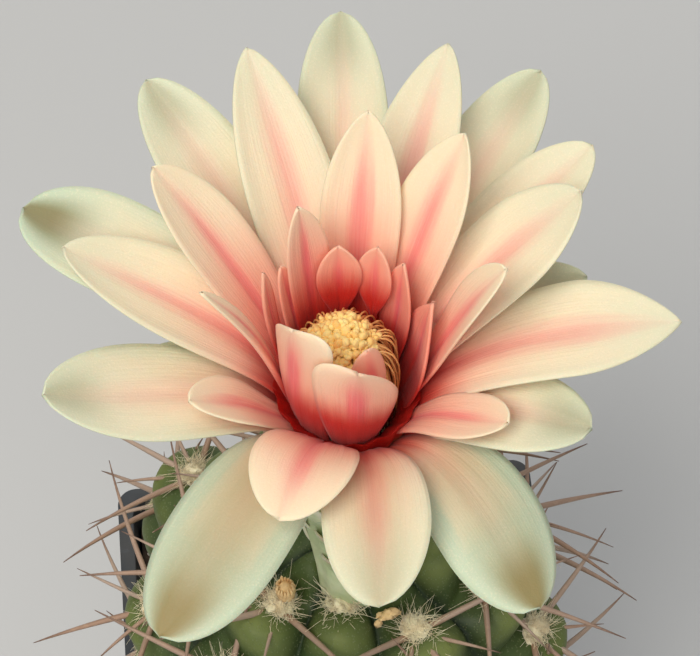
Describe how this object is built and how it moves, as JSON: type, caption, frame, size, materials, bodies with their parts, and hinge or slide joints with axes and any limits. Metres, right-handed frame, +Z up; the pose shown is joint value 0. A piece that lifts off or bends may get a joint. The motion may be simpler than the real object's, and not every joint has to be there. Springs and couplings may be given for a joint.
{
  "type": "potted chin cactus in flower",
  "caption": "Globe-shaped ribbed cactus with spines, in a square plastic pot, with one wide open many-petalled flower on a scaly tube.",
  "frame": {"origin": "centre of the pot's underside, on the surface that the pot stands on", "axes": "+Z up through the plant, X and Y along the sides of the pot, front at -Y"},
  "size_m": [0.075, 0.0762, 0.1402],
  "materials": {
    "pot_plastic": "moulded dark blue-grey plastic, satin",
    "soil_grit": "dry gritty potting mix",
    "stem_skin": "dull waxy green skin with cream wool and tan spines",
    "tube_scales": "smooth pale green scales with paler margins",
    "tepal_tissue": "satin cream tepals with pink midstripes and a salmon throat",
    "pollen": "powdery yellow anthers",
    "pistil": "smooth pale yellow"
  },
  "bodies": {
    "root": {"pot": "pot_plastic", "soil": "soil_grit", "stem": "stem_skin", "floral_tube": "tube_scales", "tepals": "tepal_tissue", "stamens": "pollen", "style": "pistil"}
  },
  "joints": []
}
